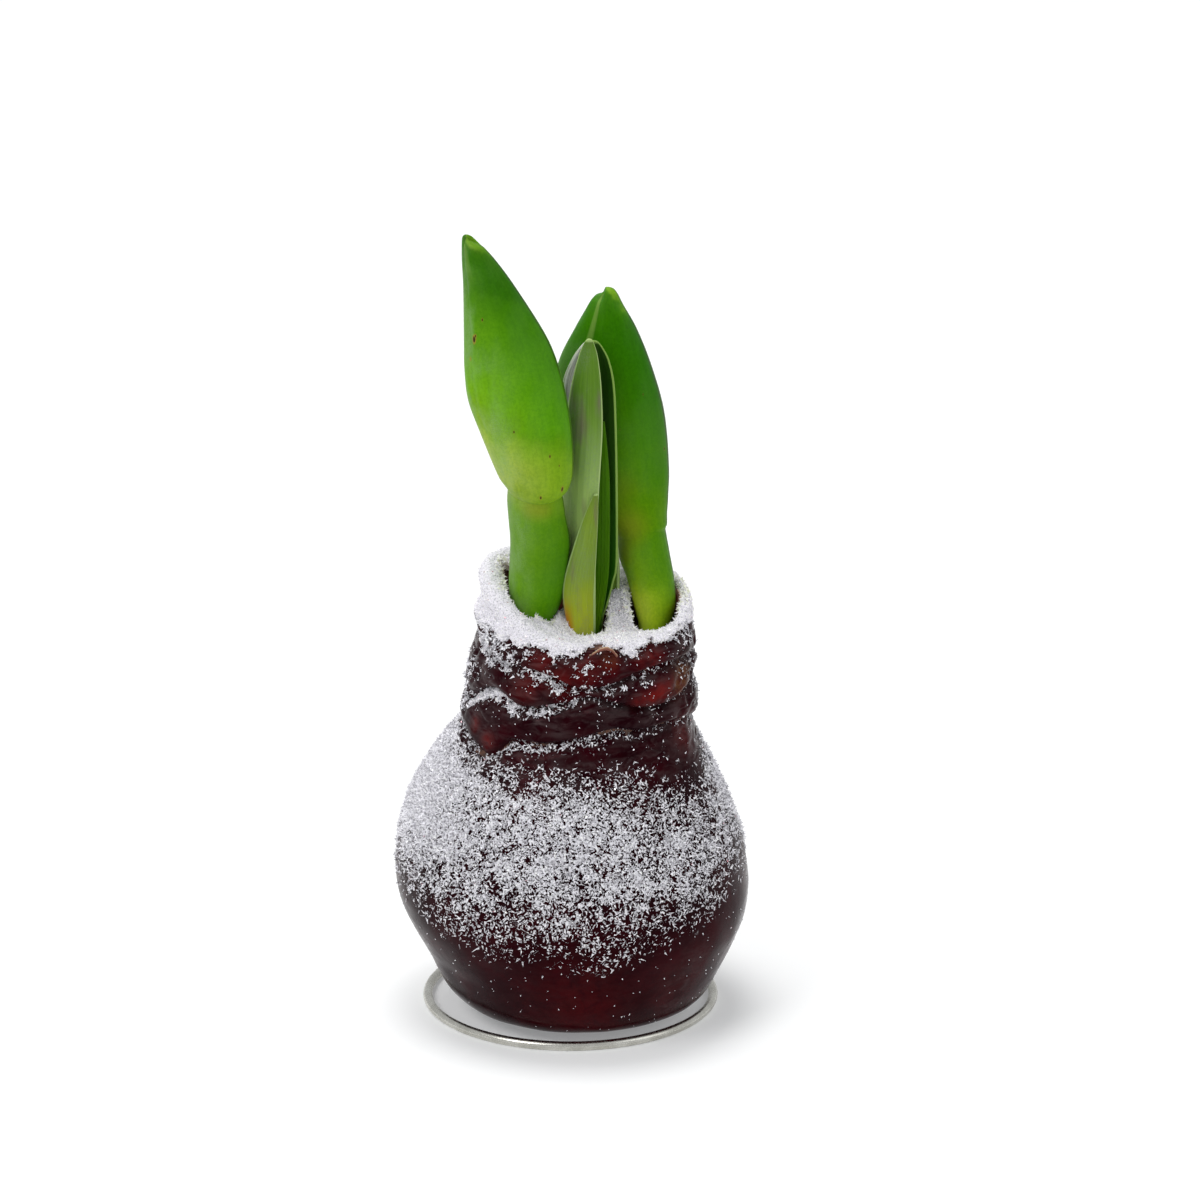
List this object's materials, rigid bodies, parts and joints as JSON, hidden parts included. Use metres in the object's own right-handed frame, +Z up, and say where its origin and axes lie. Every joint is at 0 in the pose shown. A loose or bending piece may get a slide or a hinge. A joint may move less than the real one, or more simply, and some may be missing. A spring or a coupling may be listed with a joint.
{
  "type": "waxed amaryllis bulb",
  "caption": "Flower bulb dipped in dark red wax and dusted with artificial snow, with closed buds and leaves growing from its neck, standing on a bent-wire ring.",
  "frame": {"origin": "on the surface it stands on, under the middle of the bulb's widest section", "axes": "+Z up along the bulb and its shoots, +X to the right as seen from the front, +Y to the back"},
  "size_m": [0.0906, 0.089, 0.207],
  "materials": {
    "bulb_scale": "matte",
    "wax": "gloss",
    "snow": "matte",
    "stalk": "satin",
    "bud": "satin",
    "leaf": "satin",
    "leaf_dark": "satin",
    "wire": "satin"
  },
  "bodies": {
    "root": {"bulb": "bulb_scale", "wax_coat": "wax", "snow_crust": "snow", "left_stalk": "stalk", "left_bud": "bud", "right_stalk": "stalk", "right_bud": "bud", "front_leaf": "leaf", "back_leaf": "leaf_dark", "inner_leaf": "leaf_dark", "outer_leaf": "leaf", "sheath_leaf": "leaf", "wire_stand": "wire"}
  },
  "joints": []
}
